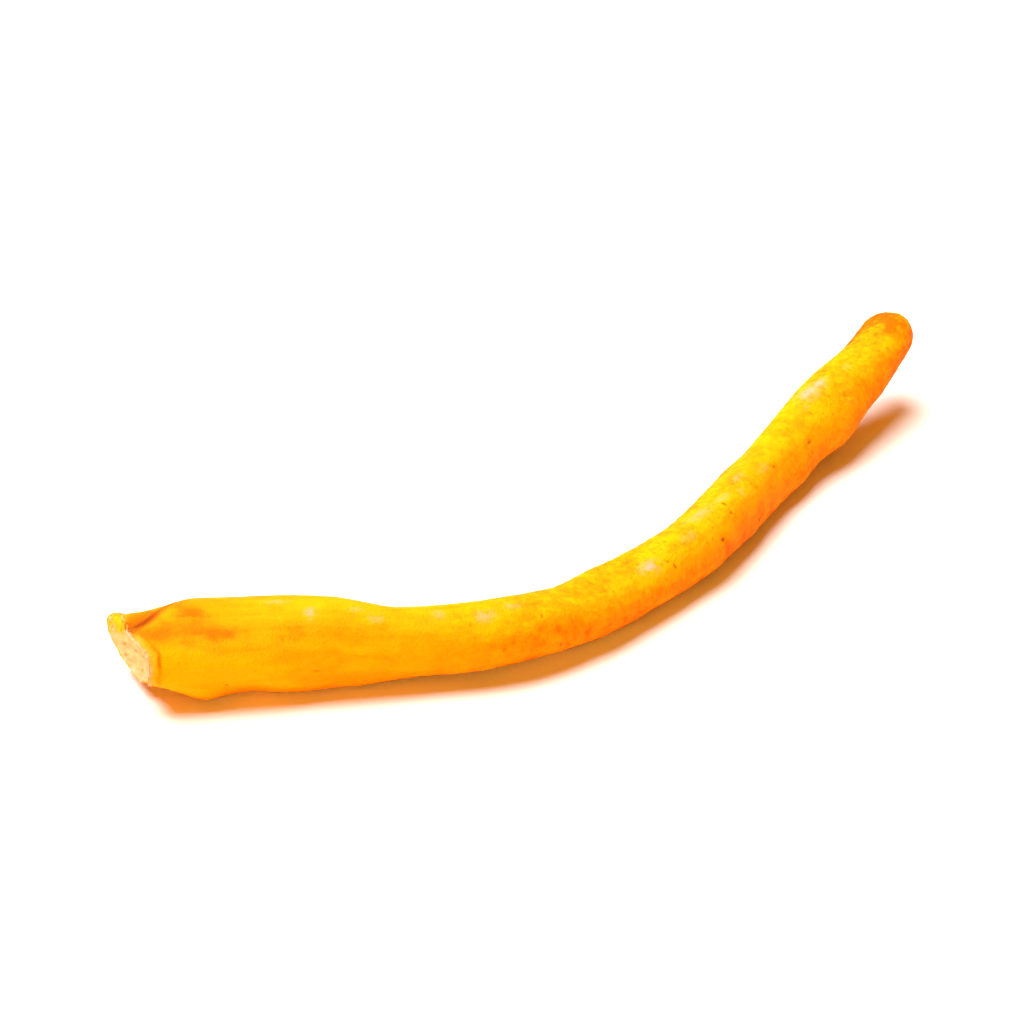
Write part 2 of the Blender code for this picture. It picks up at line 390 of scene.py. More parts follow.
ORANGE = (0.96, 0.19, 0.0006, 1)
YELLOW_ORANGE = (0.98, 0.27, 0.0008, 1)
DEEP_ORANGE = (0.8, 0.098, 0.0004, 1)
RUST = (0.4, 0.08, 0.001, 1)
BROWN = (0.15, 0.056, 0.0015, 1)
OLIVE = (0.3, 0.13, 0.0015, 1)
CREAM = (0.94, 0.245, 0.06, 1)
ROSE_WHITE = (0.9, 0.248, 0.16, 1)
LIP_YELLOW = (0.92, 0.25, 0.03, 1)
# Painted shade in the crease's valley, its core and the notch.
VALLEY_SHADE = (0.34, 0.058, 0.0004, 1)
CREASE_CORE_SHADE = (0.19, 0.038, 0.0004, 1)
NOTCH_SHADE = (0.22, 0.08, 0.001, 1)
FLESH_CREAM = (0.78, 0.33, 0.205, 1)
FLESH_PEACH = (0.74, 0.28, 0.145, 1)
FLESH_HONEY = (0.8, 0.29, 0.008, 1)
# Painted shade in the flesh's cleft.
FLESH_AMBER = (0.8, 0.22, 0.01, 1)
FLESH_DEEP = (0.5, 0.13, 0.022, 1)
FLESH_WHITE = (0.82, 0.33, 0.27, 1)

# The skin's own attributes, and clouds of colour: size in mm, seed, levels that cut the noise.
MASKS = (
    "grown tint fertile granule wrinkle pale pit seam lip rim valley core notch "
    "flesh streak pore honey cleft crumb"
).split()
SKIN_CLOUDS = {
    "broad": (4.0, 1.0, 0.36, 0.64),
    "small": (1.0, 2.0, 0.36, 0.66),
    "fine": (0.34, 3.0, 0.36, 0.66),
    "broken": (0.42, 4.0, 0.40, 0.54),
    "stain": (2.1, 6.0, 0.62, 0.80),
    "crumbly": (0.45, 7.0, 0.35, 0.65),
    "worn": (0.55, 10.0, 0.34, 0.60),
}
FIBRE_CLOUD = (0.5, 9.0, 0.35, 0.65)

# How far clouds and granules swing the tone, round which middle; the granules' swing, lighter
# on them and darker between, is painted light and shade on the relief.
TONE_BROAD = (0.18, 0.5)
TONE_PARTS = (("small", 0.46, 0.5), ("fine", 0.26, 0.5), ("granule", 0.4, 0.25))
TONE_GRAINY = (0.0, 0.8, 0.24, 1.0)
# Darker in the wrinkles: painted shade.
TONE_WRINKLE = 0.3
TONE_TO_ORANGE = (0.0, 0.55)
TONE_TO_YELLOW = (0.45, 1.15)

# Dots, flecks and dashes.
#    stretch, cell size, radius, share, strength on the stalk and on the club, colour
SPECKS = (
    ((1, 1, 1), 0.46, 0.28, 0.36, 0.10, 0.42, RUST),
    ((1.5, 0.75, 0.75), 0.62, 0.24, 0.34, 0.08, 0.62, OLIVE),
    ((1.5, 0.75, 0.75), 1.15, 0.18, 0.14, 0.12, 0.78, BROWN),
)
STAIN_STRENGTH = 0.16

PALE_LEVELS = (0.1, 0.7)
PALE_STRENGTH = 0.92
PALE_HEART = (0.62, 0.95)
# The share that clouds leave of a mask.
HEART_LEFT = (0.5, 1.0)
SEAM_LEFT = (1.0, 0.7)
LIP_LEFT = (0.3, 1.0)
RIM_LEFT = (0.7, 1.0)

# Layers of colour: mask, the levels between which it comes in, colour.
PIT_LAYER = ("pit", 0.06, 0.9, BROWN)
# Painted shade in the crease: its valley, its core and the notch.
CREASE_SHADE_LAYERS = (
    ("valley", 0.05, 0.75, VALLEY_SHADE),
    ("core", 0.10, 0.80, CREASE_CORE_SHADE),
    ("notch", 0.15, 0.75, NOTCH_SHADE),
)
# Painted shade in the cleft under the notch.
CLEFT_LAYER = ("cleft", 0.05, 0.8, FLESH_AMBER)

STREAK_SWING = (0.55, 0.0)
HONEY_SWINGS = (("fine", 0.34, 0.5), ("small", 0.3, 0.5))
HONEY_LEVELS = (0.16, 0.74)
PINHOLES = {"Size": 0.24, "Radius": 0.32, "Share": 0.34}
PINHOLE_STRENGTH = 0.45
PORE_STRENGTH = 0.7
CUT_SWING = (0.3, 0.5)
CUT_LEVELS = (0.3, 0.62)

ROUGH_BY_CLOUD = (0.12, 0.7)
ROUGH_PALE = 0.14
ROUGH_CUT = 0.2
FIBRE_ROUGH = (0.62, 0.8)

# Grain: size in mm, how strong its domes are, depth of a height of 1, in m.
SKIN_GRAIN = (0.16, 0.7, 0.000016)
FIBRE_GRAIN = (0.05, 0.3, 0.000006)

SKIN_SHADER = {
    "Subsurface Weight": 0.12,
    "Subsurface Radius": (1.0, 0.30, 0.06),
    "Subsurface Scale": 0.0005,
    "Specular IOR Level": 0.05,
    "Specular Tint": (1.0, 0.55, 0.08, 1),
}
FIBRE_SHADER = {
    "Subsurface Weight": 0.5,
    "Subsurface Radius": (1.0, 0.5, 0.25),
    "Subsurface Scale": 0.0006,
}


# ---- plain helpers


def smooth_step(value, start, end):
    """0 before start, 1 after end, and t * t * (3 - 2 t) between them."""
    t = np.clip((value - start) / (end - start), 0, 1)
    return t * t * (3 - 2 * t)


def window(value, start, full, fade, end):
    """0 up to start, 1 from full to fade and 0 from end on, with smooth steps between them."""
    return smooth_step(value, start, full) * (1 - smooth_step(value, fade, end))


def mix(share, low, high):
    """Low where the share is 0 and high where it is 1: low + (high - low) * share."""
    return low + (high - low) * share


def unit(vectors):
    """Each vector divided by its length."""
    return vectors / np.maximum(np.linalg.norm(vectors, axis=-1, keepdims=True), 1e-12)


def turn_between(turn, centre):
    """The angle from centre to turn, between -180 and 180 degrees."""
    return (turn - centre + 180) % 360 - 180


def ridge(turn, centre, spread):
    """exp(-(angle / spread)^2) of the angle from the centre."""
    return np.exp(-((turn_between(turn, centre) / spread) ** 2))


def ridges(turn, table):
    """The sum of the table's ridges, each times its height: centre, spread, height."""
    return sum(height * ridge(turn, centre, spread) for centre, spread, height in table)


def hills(s, turn, table):
    """The sum of height * exp(-(along / length)^2 - (angle / spread)^2) over the table's rows:
    s, turn, length in mm, spread in degrees, height."""
    total = np.zeros(np.broadcast(s, turn).shape)
    for at, centre, length, spread, height in table:
        far = ((s - at) / length) ** 2 + (turn_between(turn, centre) / spread) ** 2
        total += height * np.exp(-far)
    return total


def facing(turn, centre, start, end):
    """A smooth step, from start to end, of the cosine of the angle from the centre."""
    return smooth_step(np.cos(np.radians(turn - centre)), start, end)


def hashed(cell, seed):
    """A value from 0 to 1 for each whole-numbered cell: its numbers times large primes, plus the
    seed, scrambled by shifts and products that wrap at 64 bits."""
    mixed = (cell.astype(np.int64).astype(np.uint64) * HASH_PRIMES).sum(axis=-1)
    mixed = mixed + np.uint64(seed * 7919 + 17)
    for shift, factor in HASH_ROUNDS:
        mixed = (mixed ^ (mixed >> np.uint64(shift))) * np.uint64(factor)
    return ((mixed ^ (mixed >> np.uint64(31))) >> np.uint64(40)).astype(float) / 2**24


def swell(place, size, seed):
    """Smooth noise from -1 to 1: the hashed values of the eight corners of a cell of that size,
    blended along each side by t^3 (6 t^2 - 15 t + 10)."""
    spot = place / size
    cell = np.floor(spot)
    t = spot - cell
    t = t**3 * (t * (6 * t - 15) + 10)
    total = 0.0
    for corner in np.ndindex(2, 2, 2):
        offset = np.array(corner)
        weight = np.prod(np.where(offset == 1, t, 1 - t), axis=-1)
        total = total + weight * hashed(cell + offset, seed)
    return 2 * total - 1


def noise(place, layers):
    """The sum of layers of smooth noise, each times its height: size, seed, height."""
    return sum(height * swell(place, size, seed) for size, seed, height in layers)


def patches(place, size, seed, low, high):
    """A smooth step, from low to high, of smooth noise."""
    return smooth_step(swell(place, size, seed), low, high)


def granules(place, size, seed):
    """Points scattered one to a cell of that size: the distances to the nearest and the second
    nearest of them in cell sizes, and the nearest one's own value, 0 to 1."""
    spot = place / size
    cell = np.floor(spot)
    nearest = second = own = np.full(spot.shape[:-1], 9.0)
    for step in np.ndindex(3, 3, 3):
        there = cell + np.array(step) - 1
        jitter = np.stack([hashed(there, seed + i) for i in range(3)], axis=-1)
        far = np.linalg.norm(there + 0.15 + 0.7 * jitter - spot, axis=-1)
        closer = far < nearest
        second = np.where(closer, nearest, np.minimum(second, far))
        nearest = np.where(closer, far, nearest)
        own = np.where(closer, hashed(there, seed + 3), own)
    return nearest, second, own


# ---- the form


def natural_spline(knots, values):
    """The pieced cubics with the least bending through the values, as a function of s that gives
    value and slope, and goes on straight past both ends."""
    step = np.diff(knots)
    slope = np.diff(values, axis=0) / step[:, None]
    system = np.eye(len(knots))
    right = np.zeros_like(values)
    for i in range(1, len(knots) - 1):
        system[i, i - 1 : i + 2] = step[i - 1], 2 * (step[i - 1] + step[i]), step[i]
        right[i] = 6 * (slope[i] - slope[i - 1])
    bend = np.linalg.solve(system, right)

    def curve(s):
        inside = np.clip(s, knots[0], knots[-1])
        i = np.clip(np.searchsorted(knots, inside, side="right") - 1, 0, len(step) - 1)
        t = (inside - knots[i])[..., None]
        h = step[i][..., None]
        lean = slope[i] - h * (2 * bend[i] + bend[i + 1]) / 6
        twist = (bend[i + 1] - bend[i]) / h
        value = values[i] + t * lean + t**2 * bend[i] / 2 + t**3 * twist / 6
        rate = lean + t * bend[i] + t**2 * twist / 2
        return value + (s - inside)[..., None] * rate, rate

    return curve


def middle_line():
    """The spline through the stations (x, y, z, half width, half height) and its length, with
    knots at the summed distances between stations."""
    x, y, gap, width, height = np.array(STATIONS).T
    values = np.stack([x, y, gap + height / 2, width / 2, height / 2], axis=1)
    steps = np.linalg.norm(np.diff(values[:, :3], axis=0), axis=1)
    knots = np.concatenate([[0.0], np.cumsum(steps)])
    return natural_spline(knots, values), knots[-1]


LINE, LENGTH = middle_line()


def placed(grown):
    """The point in space of a grown place: the middle line at that s, plus across times the
    direction to the back and above times the direction to the crown."""
    value, rate = LINE(grown[..., 0])
    along = unit(rate[..., :3])
    back = unit(np.cross([0.0, 0.0, 1.0], along))
    crown = np.cross(along, back)
    return value[..., :3] + back * grown[..., 1:2] + crown * grown[..., 2:3]


def crease_turn(s):
    """The turn at which the crease passes s: a straight run from CREASE_FROM to CREASE_TO."""
    return np.interp(s, *zip(CREASE_FROM, CREASE_TO))


def crease(s, turn):
    """How near the crease is, exp(-(side / half width)^2), and the sunk tongue behind it, both
    fading out towards the crease's end."""
    side = turn_between(turn, crease_turn(s))
    fade = 1 - smooth_step(s, *CREASE_FADE)
    near = np.exp(-((side / CREASE_HALF_WIDTH) ** 2)) * fade
    return near, window(-side, *TONGUE_WINDOW) * fade


def knobs():
    """Small knobs (+) and hollows (-) in the form of LUMPS, by the golden angle."""
    for k, s in enumerate(KNOB_PLACES):
        yield s, GOLDEN_ANGLE * k, *KNOB_SIZE, KNOB_RISE * np.sin(KNOB_BEAT * k)


def low_relief(s, turn):
    """The sum of bell-shaped lumps and knobs, less the furrows, the crease and the tongue.  A
    furrow is exp(-(angle / half width)^2) of the angle from its own line."""
    rise = hills(s, turn, (*LUMPS, *knobs()))
    for start, first, end, last, half_width, depth in FURROWS:
        share = (s - start) / (end - start)
        side = ridge(turn, mix(share, first, last), half_width)
        rise -= depth * window(share, *FURROW_WINDOW) * side
    near, tongue = crease(s, turn)
    return rise - CREASE_DEPTH * near - TONGUE_DROP * tongue


def section(s, turn):
    """The skin's distance towards the back and towards the crown: an ellipse, times 1 plus the
    low relief and the lobes, times a quarter circle over the tip."""
    value = LINE(s)[0]
    half_width, half_height = value[..., 3], value[..., 4]
    share = 1 + low_relief(s, turn) / ((half_width + half_height) / 2)
    for lobes, size, drift, phase in LOBES:
        share = share + size * np.cos(np.radians(lobes * turn - drift * s * lobes - phase))
    over = np.clip((s - (LENGTH - TIP_LENGTH)) / TIP_LENGTH, 0, 1)
    share = share * np.sqrt(1 - over**2)
    around = np.radians(turn)
    return half_width * share * np.cos(around), half_height * share * np.sin(around)


def cut_shift(across, above, turn, share):
    """How far the cut moves a point along the piece: its slant, plus the notch and the rim's
    ridges times share^3, plus a dish that is deepest in the middle, 1 - share^2."""
    edge = NOTCH_DEPTH * crease(np.zeros_like(turn), turn)[0] + ridges(turn, RIM_EDGE)
    slant = -CUT_SLANT[0] * across - CUT_SLANT[1] * above
    return slant + edge * share**3 + CUT_DISH * (1 - share**2)


# ---- the skin


def bell(s, turn, girth, mark):
    """exp(-(along / half length)^2 - (around / half width)^2) of a mark, both in mm."""
    around = np.radians(turn_between(turn, mark[1])) * girth
    return np.exp(-(((s - mark[0]) / mark[2]) ** 2) - (around / mark[3]) ** 2)


def long_wrinkles(grown, s, fertile):
    """How deep the wrinkles along the piece are, 0 to 1: noise stretched along it and folded at
    0, times the sharpness, taken from 1; fainter on the club."""
    stretched = grown / np.array([WRINKLE_STRETCH, 1, 1])
    fold = sum(share * np.abs(swell(stretched, size, seed)) for size, seed, share in WRINKLE_FOLDS)
    strength = mix(fertile, 1, WRINKLE_ON_CLUB) * smooth_step(s, *WRINKLE_START)
    return np.clip(1 - WRINKLE_SHARPNESS * fold, 0, 1) * strength


def cross_wrinkles(grown, s, turn):
    """How deep the wrinkles across the piece are, 0 to 1: (0.5 + 0.5 sin)^2 along s, with a
    phase that wanders with noise, in patches and mostly inside the bend."""
    inside = mix(facing(turn, *CROSS_INSIDE), CROSS_LEAST, 1)
    phase = s / CROSS_PITCH + noise(grown, CROSS_WANDER)
    wave = (0.5 + 0.5 * np.sin(2 * np.pi * phase)) ** 2
    return window(s, *CROSS_WINDOW) * inside * wave * patches(grown, *CROSS_PATCHES)


def skin_granules(grown, fertile):
    """How high the granules stand: domes round scattered points with gaps between them, times
    their strengths on the club, in the patch and of their own."""
    nearest, second, own = granules(grown, *GRANULES)
    dome = (1 - smooth_step(nearest, *GRANULE_EDGE)) * smooth_step(second - nearest, *GRANULE_GAP)
    for part, strength in zip((fertile, patches(grown, *GRANULE_PATCHES), own), GRANULE_STRENGTHS):
        dome = dome * mix(part, *strength)
    return dome


def far_pits():
    """Pits in the form of PITS, on the back and underside, by the golden angle."""
    first, reach = FAR_PIT_TURNS
    middle, more, beat = FAR_PIT_SIZES
    for k, s in enumerate(FAR_PIT_PLACES):
        size = middle + more * np.sin(beat * k)
        yield s, first + (k * GOLDEN_ANGLE) % reach, size * FAR_PIT_STRETCH, size, *FAR_PIT_LOOK


def pits(s, turn, girth):
    """How deep the pits are, in mm, the sum of their bell shapes, and how dark, the highest."""
    deep, dark = np.zeros_like(turn), np.zeros_like(turn)
    for mark in (*PITS, *far_pits()):
        near = bell(s, turn, girth, mark)
        deep += mark[4] * near
        dark = np.maximum(dark, mark[5] * near)
    return deep, dark


def ring_scar(s, turn, girth):
    """The scar's raised ring, exp(-((distance - radius) / width)^2), and the hollow in it."""
    at, centre, radius = RING_SCAR
    around = np.radians(turn_between(turn, centre)) * girth
    ring = np.exp(-(((np.hypot(s - at, around) - radius) / RING_WIDTH) ** 2))
    return ring, bell(s, turn, girth, (at, centre, RING_HOLLOW, RING_HOLLOW))


def crease_valley(grown, s, turn):
    """The folded valley beside the crease and its core, dents whose masks also carry painted
    shade: exp(-(side / width)^2) of the angle from the wandering crease, narrowing and fading
    away from the rim."""
    side = turn_between(turn, crease_turn(s)) + noise(grown, VALLEY_WANDER)
    front, back = (np.maximum(width - less * s, VALLEY_LEAST) for width, less in VALLEY_WIDTHS)
    valley = np.exp(-((side / np.where(side > 0, front, back)) ** 2))
    faded = sum(part * smooth_step(s, start, end) for start, end, part in VALLEY_FADES)
    valley = valley * (1 - faded)
    core = np.exp(-((side / CORE_HALF_WIDTH) ** 2)) * (1 - smooth_step(s, *CORE_FADE))
    return valley, core


def lit_crown_band(s, turn):
    """1 along the crown, which is painted yellower as light falling on it, and 0 past an edge that
    moves outwards from the base to the club."""
    club = smooth_step(s, *CROWN_CHANGE)
    far = np.abs(turn_between(turn, mix(club, *CROWN_TURN)))
    return 1 - smooth_step(far, mix(club, *CROWN_INNER), mix(club, *CROWN_OUTER))


def torn_lip(grown, s, turn):
    """The paled lip behind the rim, as wide as a least width plus noise and ridges, and the
    seam behind it, exp(-(distance / half width)^2)."""
    width = LIP_LEAST + noise(grown, LIP_WANDER) + ridges(turn, LIP_EDGE)
    lip = 1 - smooth_step(s, width - LIP_BEFORE, width + LIP_AFTER)
    return lip, np.exp(-(((s - width - SEAM_SHIFT) / SEAM_HALF_WIDTH) ** 2))


def skin_relief(grown, s, turn, girth):
    """How far the skin stands out, in mm, and its masks: swells, granules, the scar, pale patches
    and the seam, less wrinkles, pits, the valley, its core and the lip, each times its rise or
    depth.  The valley, core and notch masks carry painted shade, and the tip's cap, hills times
    a level and clouds, is painted like the valley: partly its own deeper orange, partly painted
    shade."""
    fertile = smooth_step(s, *FERTILE)
    wrinkle = long_wrinkles(grown, s, fertile)
    cross = cross_wrinkles(grown, s, turn)
    granule = skin_granules(grown, fertile)
    deep, dark = pits(s, turn, girth)
    ring, hollow = ring_scar(s, turn, girth)
    pale = np.max([mark[4] * bell(s, turn, girth, mark) for mark in PALE], axis=0)
    valley, core = crease_valley(grown, s, turn)
    lip, seam = torn_lip(grown, s, turn)

    rise = noise(grown, SWELLS) - WRINKLE_DEPTH * wrinkle - CROSS_DEPTH * cross
    rise += GRANULE_RISE * granule - deep + RING_RISE * (ring - hollow) + PALE_RISE * pale
    rise += SEAM_RISE * seam - LIP_DROP * lip - VALLEY_DEPTH * valley - CORE_DEPTH * core

    cap = np.clip(hills(s, turn, CAP), 0, 1) * (CAP_LEVEL + noise(grown, CAP_CLOUDS))
    rust = SEAM_FRONT_STRENGTH * facing(turn, *SEAM_FRONT) + SCORCH_STRENGTH * ridge(turn, *SCORCH)
    masks = {
        "granule": granule,
        "wrinkle": np.clip(wrinkle + cross, 0, 1),
        "pale": np.maximum(pale, RING_PALE * ring),
        # The tint: the flanks' level, the crown's painted light, and the broad tints, which carry painted
        # light and shade as well as the skin's own tone.
        "tint": TINT_FLANK + TINT_LIT_CROWN * lit_crown_band(s, turn) + hills(s, turn, TINTS),
        "pit": dark,
        "valley": np.maximum(valley, CAP_STRENGTH * cap),
        "core": core,
        "lip": lip,
        "rim": 1 - smooth_step(s, *RIM_WIDTH),
        "seam": seam * rust,
        "notch": ridge(turn, *NOTCH) * (1 - smooth_step(s, *NOTCH_FADE)),
        "fertile": fertile,
    }
    return rise, masks


# ---- the cut


def flesh_crumbs(grown):
    """Crumbs, domes round scattered points, and pores, hollows round others whose own value is
    high, both 0 to 1."""
    nearest, _, own = granules(grown, *CRUMBS)
    crumb = (1 - smooth_step(nearest, *CRUMB_EDGE)) * mix(own, *CRUMB_BY_OWN)
    nearest, _, own = granules(grown, *PORES)
    pore = (1 - smooth_step(nearest, PORE_HEART, mix(own, *PORE_RADIUS))) * smooth_step(own, *PORE_CHOSEN)
    return crumb, pore


def flesh_relief(grown, share, s, turn):
    """How far the flesh of the cut stands out, in mm, and its masks: crumbs, pores, smooth
    noise, streaks (noise laid out on the turn and the share), puckers (a sine of the turn) and
    a sink.  The flesh ends in a ragged edge at the rim, and in front some way past it."""
    crumb, pore = flesh_crumbs(grown)
    outer = smooth_step(share, *OUTER_FLESH)
    around = np.radians(turn) + noise(grown, STREAK_WANDER)
    spokes = [STREAK_TURN * np.cos(around), STREAK_TURN * np.sin(around), STREAK_SHARE * share]
    streak = swell(np.stack(spokes, axis=-1), 1.0, STREAK_SEED) * outer
    inside = 1 - smooth_step(share, *FLESH_END)
    rise = CRUMB_RISE * crumb - PORE_DEPTH * pore + noise(grown, FLESH_SWELLS)
    rise += STREAK_RISE * streak + PUCKER_RISE * np.sin(PUCKERS * around) * outer
    rise -= FLESH_SINK * inside

    ragged = swell(grown, *RAGGED)
    edge = share + RAGGED_IN * ragged * smooth_step(1 - share, *RAGGED_START)
    bulge = facing(turn, *BULGE_FRONT) * (1 - smooth_step(s + RAGGED_OUT * ragged, *BULGE_END))
    masks = {
        "flesh": np.maximum(1 - smooth_step(edge, *FLESH_EDGE), bulge),
        "pore": pore * inside,
        "streak": streak,
        "honey": ridge(turn, *HONEY) * smooth_step(share, *HONEY_START),
        "cleft": ridge(turn, *CLEFT) * smooth_step(share, *CLEFT_START),
    }
    return rise, masks


def loose_crumbs(grown, share, s, turn):
    """Loose crumbs, 0 to 1, in a band on either side of the rim: domes round the scattered
    points whose own value is high."""
    nearest, _, own = granules(grown, *LOOSE_CRUMBS)
    band = smooth_step(share, *LOOSE_INSIDE) * (1 - smooth_step(s, *LOOSE_OUTSIDE))
    band = band * (1 - ridge(turn, *LOOSE_NOTCH))
    chosen = smooth_step(own + LOOSE_MORE * facing(turn, *LOOSE_FRONT), *LOOSE_CHOSEN)
    return (1 - smooth_step(nearest, *LOOSE_EDGE)) * chosen * band


# ---- the nets


def row_places():
    """Two columns, share and s, for every row: shares from the middle of the cut to its rim,
    then s from the rim to the tip, in steps that widen."""
    cut = np.sin(np.linspace(0, np.pi / 2, CUT_ROWS + 1))[1:-1]
    fine = np.linspace(0, LENGTH - TIP_LENGTH, STEP_SAMPLES)
    step = mix(smooth_step(fine, *STEP_CHANGE), *ROW_STEPS)
    count = np.concatenate([[0.0], np.cumsum(np.diff(fine) / step[1:])])
    body = np.interp(np.linspace(0, count[-1], int(count[-1])), count, fine)[:-1]
    tip = np.sin(np.linspace(0, np.pi / 2, TIP_ROWS, endpoint=False))
    s = np.concatenate([0 * cut, body, LENGTH - TIP_LENGTH + TIP_LENGTH * tip])
    share = np.concatenate([cut, np.ones(len(s) - len(cut))])
    return share[:, None], s[:, None]


def row_turns(s):
    """The turns of the columns: even steps, pulled so that one column stays in the crease."""
    even = np.arange(COLUMNS) * 360.0 / COLUMNS
    pull = (1 + np.cos(np.radians(even))) / 2
    return CREASE_FROM[1] + even + pull * (crease_turn(s) - CREASE_FROM[1])


def closed_net(points):
    """The faces of a grid of rows and columns that closes round, with a fan on one more point
    at either end: index of point (row, column) is row * columns + column."""
    rows, columns = points.shape[:2]
    index = np.arange(rows * columns).reshape(rows, columns)
    after = np.roll(index, -1, axis=1)
    quads = np.stack([index[:-1], after[:-1], after[1:], index[1:]], axis=-1)
    ends = np.full(columns, index.size)
    first = np.stack([ends, after[0], index[0]], axis=-1)
    last = np.stack([ends + 1, index[-1], after[-1]], axis=-1)
    return quads.reshape(-1, 4), np.concatenate([first, last])


def with_ends(net):
    """The net's values row by row, and then the means of its first and of its last row."""
    return np.concatenate([net.reshape(-1, *net.shape[2:]), net[[0, -1]].mean(axis=1)])


def added(name, data):
    """A new object with that data, in the scene."""
    thing = bpy.data.objects.new(name, data)
    bpy.context.scene.collection.objects.link(thing)
    return thing


def mesh_from(name, points, quads, triangles, attributes):
    """The object that carries a smooth mesh of those points, in mm and put no lower than the
    surface, with its attributes, one value or vector a point."""
    points = np.where([False, False, True], np.maximum(points, 0), points)
    mesh = bpy.data.meshes.new(name)
    mesh.from_pydata(points * MM, [], [*quads.tolist(), *triangles.tolist()])
    mesh.validate()
    mesh.shade_smooth()
    for key, values in attributes.items():
        kind, field = ("FLOAT_VECTOR", "vector") if values.ndim == 2 else ("FLOAT", "value")
        mesh.attributes.new(key, kind, "POINT").data.foreach_set(field, values.ravel())
    return added(name, mesh)


def fruiting_body():
    """The whole skin and the cut face as one closed net: the form's point, moved along its
    outward normal by the relief.  The normal is the cross product of the net's steps round and
    along the piece.  The rim is frayed by noise times share^6 times exp(-s / length)."""
    share, s = row_places()
    turn = row_turns(s)
    share, s = np.broadcast_arrays(share, s, turn)[:2]
    across, above = (value * share for value in section(s, turn))
    along = s + (1 - smooth_step(s, 0, CUT_DRAG)) * cut_shift(across, above, turn, share)
    fray = noise(np.stack([along, across, above], axis=-1), FRAY)
    along = along + fray * share**FRAY_POWER * np.exp(-s / FRAY_LENGTH)
    grown = np.stack([along, across, above], axis=-1)
    points = placed(grown)

    up_the_piece = np.gradient(points, axis=0)
    round_the_piece = np.roll(points, -1, axis=1) - np.roll(points, 1, axis=1)
    normal = unit(np.cross(round_the_piece, up_the_piece))

    girth = LINE(s)[0][..., 3:].mean(axis=-1)
    skin_rise, masks = skin_relief(grown, s, turn, girth)
    flesh_rise, flesh_masks = flesh_relief(grown, share, s, turn)
    crumbs = loose_crumbs(grown, share, s, turn)
    rise = mix(smooth_step(share, *FLESH_END), flesh_rise, skin_rise) + LOOSE_RISE * crumbs
    rise = rise * (1 - smooth_step(s, LENGTH - TIP_SMOOTH, LENGTH))

    masks |= flesh_masks | {"crumb": crumbs, "grown": grown}
    attributes = {name: with_ends(values) for name, values in masks.items()}
    flat = with_ends(points + normal * rise[..., None])
    flat[-1] = placed(np.array([LENGTH, 0.0, 0.0]))
    return mesh_from("fruiting_body_skin", flat, *closed_net(points), attributes)


def cut_fibres():
    """Short torn fibres on the flesh of the cut.  Each is a tube along root + length * (t * aim
    + t^2 * droop), whose radius falls as (1 - t)^0.7, with a point at both ends."""
    rng = np.random.default_rng(FIBRE_SEED)
    count = FIBRE_COUNT
    share = rng.uniform(*FIBRE_SHARE, count) ** FIBRE_POWER
    turn = rng.uniform(0, 360, count)
    across, above = (value * share for value in section(np.zeros(count), turn))
    depth = mix(smooth_step(share, *FLESH_EDGE), *FIBRE_ROOT)
    along = cut_shift(across, above, turn, share) + depth
    root = placed(np.stack([along, across, above], axis=-1))
    outer = placed(np.stack([along, across * 1.2, above * 1.2], axis=-1))
    ahead = placed(np.stack([along - 1, across, above], axis=-1))
    outwards = rng.uniform(*FIBRE_OUTWARDS, (count, 1))
    aim = unit(ahead - root) + outwards * unit(outer - root)
    aim = unit(aim + rng.normal(0, FIBRE_STRAY, (count, 3)))
    droop = rng.normal(0, FIBRE_CURL, (count, 3)) + np.array([0, 0, FIBRE_SAG])
    length = rng.uniform(*FIBRE_LENGTH, count)
    width = rng.uniform(*FIBRE_WIDTH, count)

    t = np.linspace(0, FIBRE_LAST_RING, FIBRE_RINGS)[None, :, None]
    path = root[:, None] + length[:, None, None] * (t * aim[:, None] + t**2 * droop[:, None])
    side = unit(np.cross(aim, [0.3, 0.5, 0.81]))
    other = FIBRE_FLATNESS * np.cross(aim, side)
    radius = width[:, None] * (1 - t[..., 0]) ** FIBRE_POWER
    angle = (np.arange(FIBRE_SIDES) * 2 * np.pi / FIBRE_SIDES)[:, None]
    ring = side[:, None, None] * np.cos(angle) + other[:, None, None] * np.sin(angle)
    points = path[:, :, None] + ring * radius[:, :, None, None]

    tip = root + length[:, None] * (aim + droop)
    flat = np.concatenate([points.reshape(count, -1, 3), root[:, None], tip[:, None]], axis=1)
    shift = np.arange(count)[:, None, None] * flat.shape[1]
    quads, triangles = (faces + shift for faces in closed_net(points[0]))
    flat = flat.reshape(-1, 3)
    return mesh_from("cut_fibres", flat, quads.reshape(-1, 4), triangles.reshape(-1, 3), {"grown": flat})


# ---- shader parts


def fill(node, sockets):
    """Gives inputs, by name or number, another node's output, linked, or a plain value, set."""
    for key, value in sockets.items():
        if isinstance(value, bpy.types.NodeSocket):
            value.id_data.links.new(value, node.inputs[key])
        else:
            node.inputs[key].default_value = value


def put(kind, settings, sockets):
    """Adds a node, with its settings and inputs, to the tree of the outputs that it is given."""
    given = [value for value in sockets.values() if isinstance(value, bpy.types.NodeSocket)]
    node = given[0].id_data.nodes.new(kind)
    for key, value in settings.items():
        setattr(node, key, value)
    fill(node, sockets)
    return node


def worked(operation, *values):
    """The output of a Math node with those values."""
    return put("ShaderNodeMath", {"operation": operation}, dict(enumerate(values))).outputs[0]


def plus(a, b):
    """The sum of two values."""
    return worked("ADD", a, b)


def times(a, b):
    """The product of two values."""
    return worked("MULTIPLY", a, b)


def swing(value, size, middle):
    """The value's distance from the middle, times the size."""
    return worked("MULTIPLY_ADD", value, size, -size * middle)


def blend(factor, a, b):
    """The colour a where the factor is 0, and b where it is 1."""
    settings = {"data_type": "RGBA", "clamp_factor": True}
    return put("ShaderNodeMix", settings, {0: factor, 6: a, 7: b}).outputs[2]


